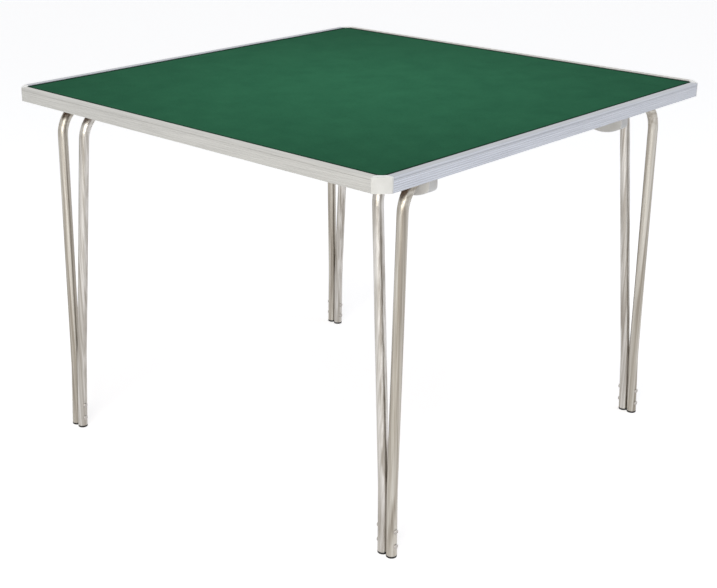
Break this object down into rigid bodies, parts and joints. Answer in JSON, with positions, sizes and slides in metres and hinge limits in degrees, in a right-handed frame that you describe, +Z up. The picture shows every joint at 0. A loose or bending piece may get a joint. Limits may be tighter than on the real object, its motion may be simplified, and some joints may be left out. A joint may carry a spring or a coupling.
{
  "type": "folding card table",
  "caption": "Square cloth-topped card table with metal edging, on two folding frames of bent tube.",
  "frame": {"origin": "on the floor, under the middle of the table top", "axes": "+Z up; X along the near and far edges, parallel to both fold axes; +Y from the near side to the far side"},
  "size_m": [0.915, 0.915, 0.698],
  "materials": {
    "baize": "matte",
    "hardboard": "matte",
    "softwood": "matte",
    "foam": "matte",
    "aluminium_edging": "satin",
    "aluminium_tube": "polished",
    "white_plastic": "satin",
    "zinc_steel": "satin",
    "rivet_aluminium": "satin",
    "black_rubber": "matte"
  },
  "bodies": {
    "table_top": {"baize_cover": "baize", "top_skin": "hardboard", "bottom_skin": "hardboard", "foam_core": "foam", "left_edge_batten": "softwood", "right_edge_batten": "softwood", "edging_screws": "zinc_steel", "pivot_screws": "zinc_steel", "clip_screws": "zinc_steel", "near_edge_rail": "aluminium_edging", "right_edge_rail": "aluminium_edging", "far_edge_rail": "aluminium_edging", "left_edge_rail": "aluminium_edging", "near_left_corner_block": "white_plastic", "near_right_corner_block": "white_plastic", "far_right_corner_block": "white_plastic", "far_left_corner_block": "white_plastic", "near_edge_batten": "softwood", "near_hinge_batten": "softwood", "near_left_pivot_base": "white_plastic", "near_left_pivot_strap": "zinc_steel", "near_left_bar_clip": "white_plastic", "near_right_pivot_base": "white_plastic", "near_right_pivot_strap": "zinc_steel", "near_right_bar_clip": "white_plastic", "far_edge_batten": "softwood", "far_hinge_batten": "softwood", "far_left_pivot_base": "white_plastic", "far_left_pivot_strap": "zinc_steel", "far_left_bar_clip": "white_plastic", "far_right_pivot_base": "white_plastic", "far_right_pivot_strap": "zinc_steel", "far_right_bar_clip": "white_plastic"},
    "near_legs": {"near_outer_hoop": "aluminium_tube", "near_inner_hoop": "aluminium_tube", "near_foot_rivets": "rivet_aluminium", "near_clamp_screws": "zinc_steel", "near_left_clamp_block": "white_plastic", "near_left_clamp_cap": "white_plastic", "near_left_outer_foot": "black_rubber", "near_left_inner_foot": "black_rubber", "near_right_clamp_block": "white_plastic", "near_right_clamp_cap": "white_plastic", "near_right_outer_foot": "black_rubber", "near_right_inner_foot": "black_rubber"},
    "far_legs": {"far_outer_hoop": "aluminium_tube", "far_inner_hoop": "aluminium_tube", "far_foot_rivets": "rivet_aluminium", "far_clamp_screws": "zinc_steel", "far_left_clamp_block": "white_plastic", "far_left_clamp_cap": "white_plastic", "far_left_outer_foot": "black_rubber", "far_left_inner_foot": "black_rubber", "far_right_clamp_block": "white_plastic", "far_right_clamp_cap": "white_plastic", "far_right_outer_foot": "black_rubber", "far_right_inner_foot": "black_rubber"}
  },
  "joints": [
    {"name": "near_legs_fold", "type": "hinge", "parent": "table_top", "child": "near_legs", "pos_m": [0, -0.331, 0.6618], "axis": [1, 0, 0], "range_deg": [0, 92.4]},
    {"name": "far_legs_fold", "type": "hinge", "parent": "table_top", "child": "far_legs", "pos_m": [0, 0.331, 0.6618], "axis": [-1, 0, 0], "range_deg": [0, 92.4]}
  ]
}
